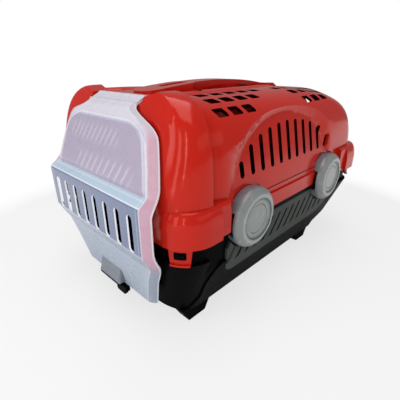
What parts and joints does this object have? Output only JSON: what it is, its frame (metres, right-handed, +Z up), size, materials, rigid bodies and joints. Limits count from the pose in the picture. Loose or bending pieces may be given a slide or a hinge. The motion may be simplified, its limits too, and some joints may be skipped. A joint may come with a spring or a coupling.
{
  "type": "pet carrier",
  "caption": "Hard pet carrier: a vented plastic lid clipped on a tub, with a hinged clear door, a roof handle, a sliding door latch and wheel shaped side locks.",
  "frame": {"origin": "on the floor, under the middle of the carrier", "axes": "+X across the carrier to its right as seen from behind, the door faces -Y, +Z up"},
  "size_m": [0.329, 0.5095, 0.31],
  "materials": {
    "red_plastic": "glossy moulded red polypropylene",
    "black_plastic": "satin moulded black polypropylene",
    "grey_plastic": "satin grooved grey green plastic",
    "clear_plastic": "frosted translucent plastic",
    "smoky_plastic": "smoky translucent plastic",
    "lock_plastic": "milky grey translucent plastic",
    "steel": "plain drawn steel"
  },
  "bodies": {
    "tub": {"tub_shell": "black_plastic", "side_tread_right": "grey_plastic", "side_tread_left": "grey_plastic"},
    "lid": {"lid_shell": "red_plastic", "carry_handle": "red_plastic", "handle_screws": "steel", "door_hinge_pin": "steel", "wheel_pivot_front_right": "lock_plastic", "wheel_pivot_front_left": "lock_plastic", "wheel_pivot_rear_right": "lock_plastic", "wheel_pivot_rear_left": "lock_plastic"},
    "door": {"door_panel": "clear_plastic", "latch_cover": "smoky_plastic"},
    "bolt": {"latch_bolt": "black_plastic"},
    "lock_front_right": {"wheel_lock_front_right": "lock_plastic"},
    "lock_front_left": {"wheel_lock_front_left": "lock_plastic"},
    "lock_rear_right": {"wheel_lock_rear_right": "lock_plastic"},
    "lock_rear_left": {"wheel_lock_rear_left": "lock_plastic"},
    "clip_front_right": {"corner_clip_front_right": "red_plastic"},
    "clip_front_left": {"corner_clip_front_left": "red_plastic"},
    "clip_rear_right": {"corner_clip_rear_right": "red_plastic"},
    "clip_rear_left": {"corner_clip_rear_left": "red_plastic"}
  },
  "joints": [
    {"name": "lid_lift", "type": "slide", "parent": "tub", "child": "lid", "axis": [0, 0, 1], "range_m": [0, 0.15]},
    {"name": "door_swing", "type": "hinge", "parent": "lid", "child": "door", "pos_m": [0, -0.19, 0.2945], "axis": [-1, 0, 0], "range_deg": [0, 105]},
    {"name": "bolt_slide", "type": "slide", "parent": "door", "child": "bolt", "axis": [1, 0, 0], "range_m": [0, 0.01]},
    {"name": "lock_front_right_turn", "type": "hinge", "parent": "lid", "child": "lock_front_right", "pos_m": [0.154, -0.1085, 0.1495], "axis": [1, 0, 0], "range_deg": [0, 90]},
    {"name": "lock_front_left_turn", "type": "hinge", "parent": "lid", "child": "lock_front_left", "pos_m": [-0.154, -0.1085, 0.1495], "axis": [1, 0, 0], "range_deg": [0, 90]},
    {"name": "lock_rear_right_turn", "type": "hinge", "parent": "lid", "child": "lock_rear_right", "pos_m": [0.154, 0.1131, 0.1495], "axis": [1, 0, 0], "range_deg": [0, 90]},
    {"name": "lock_rear_left_turn", "type": "hinge", "parent": "lid", "child": "lock_rear_left", "pos_m": [-0.154, 0.1131, 0.1495], "axis": [1, 0, 0], "range_deg": [0, 90]},
    {"name": "clip_front_right_flex", "type": "hinge", "parent": "lid", "child": "clip_front_right", "pos_m": [0.13649, -0.22098, 0.144], "axis": [-0.8192, -0.5736, 0], "range_deg": [0, 12], "stiffness_Nm_per_rad": 0.3},
    {"name": "clip_front_left_flex", "type": "hinge", "parent": "lid", "child": "clip_front_left", "pos_m": [-0.13649, -0.22098, 0.144], "axis": [-0.8192, 0.5736, 0], "range_deg": [0, 12], "stiffness_Nm_per_rad": 0.3},
    {"name": "clip_rear_right_flex", "type": "hinge", "parent": "lid", "child": "clip_rear_right", "pos_m": [0.13649, 0.24298, 0.144], "axis": [0.8192, -0.5736, 0], "range_deg": [0, 12], "stiffness_Nm_per_rad": 0.3},
    {"name": "clip_rear_left_flex", "type": "hinge", "parent": "lid", "child": "clip_rear_left", "pos_m": [-0.13649, 0.24298, 0.144], "axis": [0.8192, 0.5736, 0], "range_deg": [0, 12], "stiffness_Nm_per_rad": 0.3}
  ]
}
